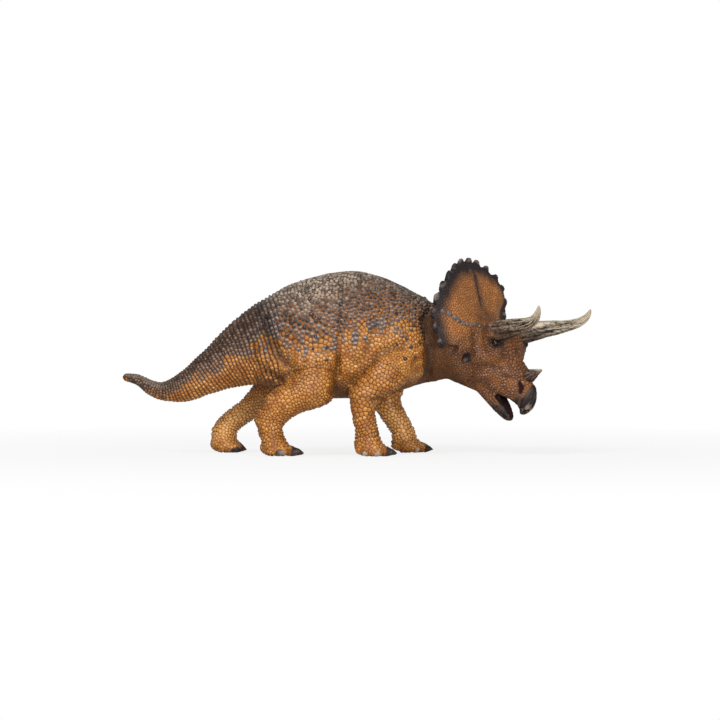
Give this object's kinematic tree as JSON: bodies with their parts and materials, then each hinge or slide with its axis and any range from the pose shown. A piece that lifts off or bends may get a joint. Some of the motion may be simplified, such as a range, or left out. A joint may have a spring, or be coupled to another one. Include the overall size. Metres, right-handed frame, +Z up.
{
  "type": "horned dinosaur figure",
  "caption": "Moulded figure of a walking horned dinosaur with a scalloped neck frill, long brow horns, a beaked open mouth and a low tail, standing on flat-soled feet.",
  "frame": {"origin": "on the floor, at the middle of the whole figure's footprint box", "axes": "+X forwards along the body, +Y to the animal's left, +Z up"},
  "size_m": [0.1756, 0.0648, 0.0726],
  "materials": {
    "hide": "hand-painted, dry-brushed, satin",
    "leg": "hand-painted, satin",
    "head": "hand-painted, satin",
    "horn": "hand-painted, satin"
  },
  "bodies": {
    "root": {"trunk": "hide", "tail": "hide", "head": "head", "lower_jaw": "head", "brow_horn_right": "horn", "brow_horn_left": "horn", "nose_horn": "horn", "fore_leg_right": "leg", "fore_leg_left": "leg", "hind_leg_right": "leg", "hind_leg_left": "leg"}
  },
  "joints": []
}
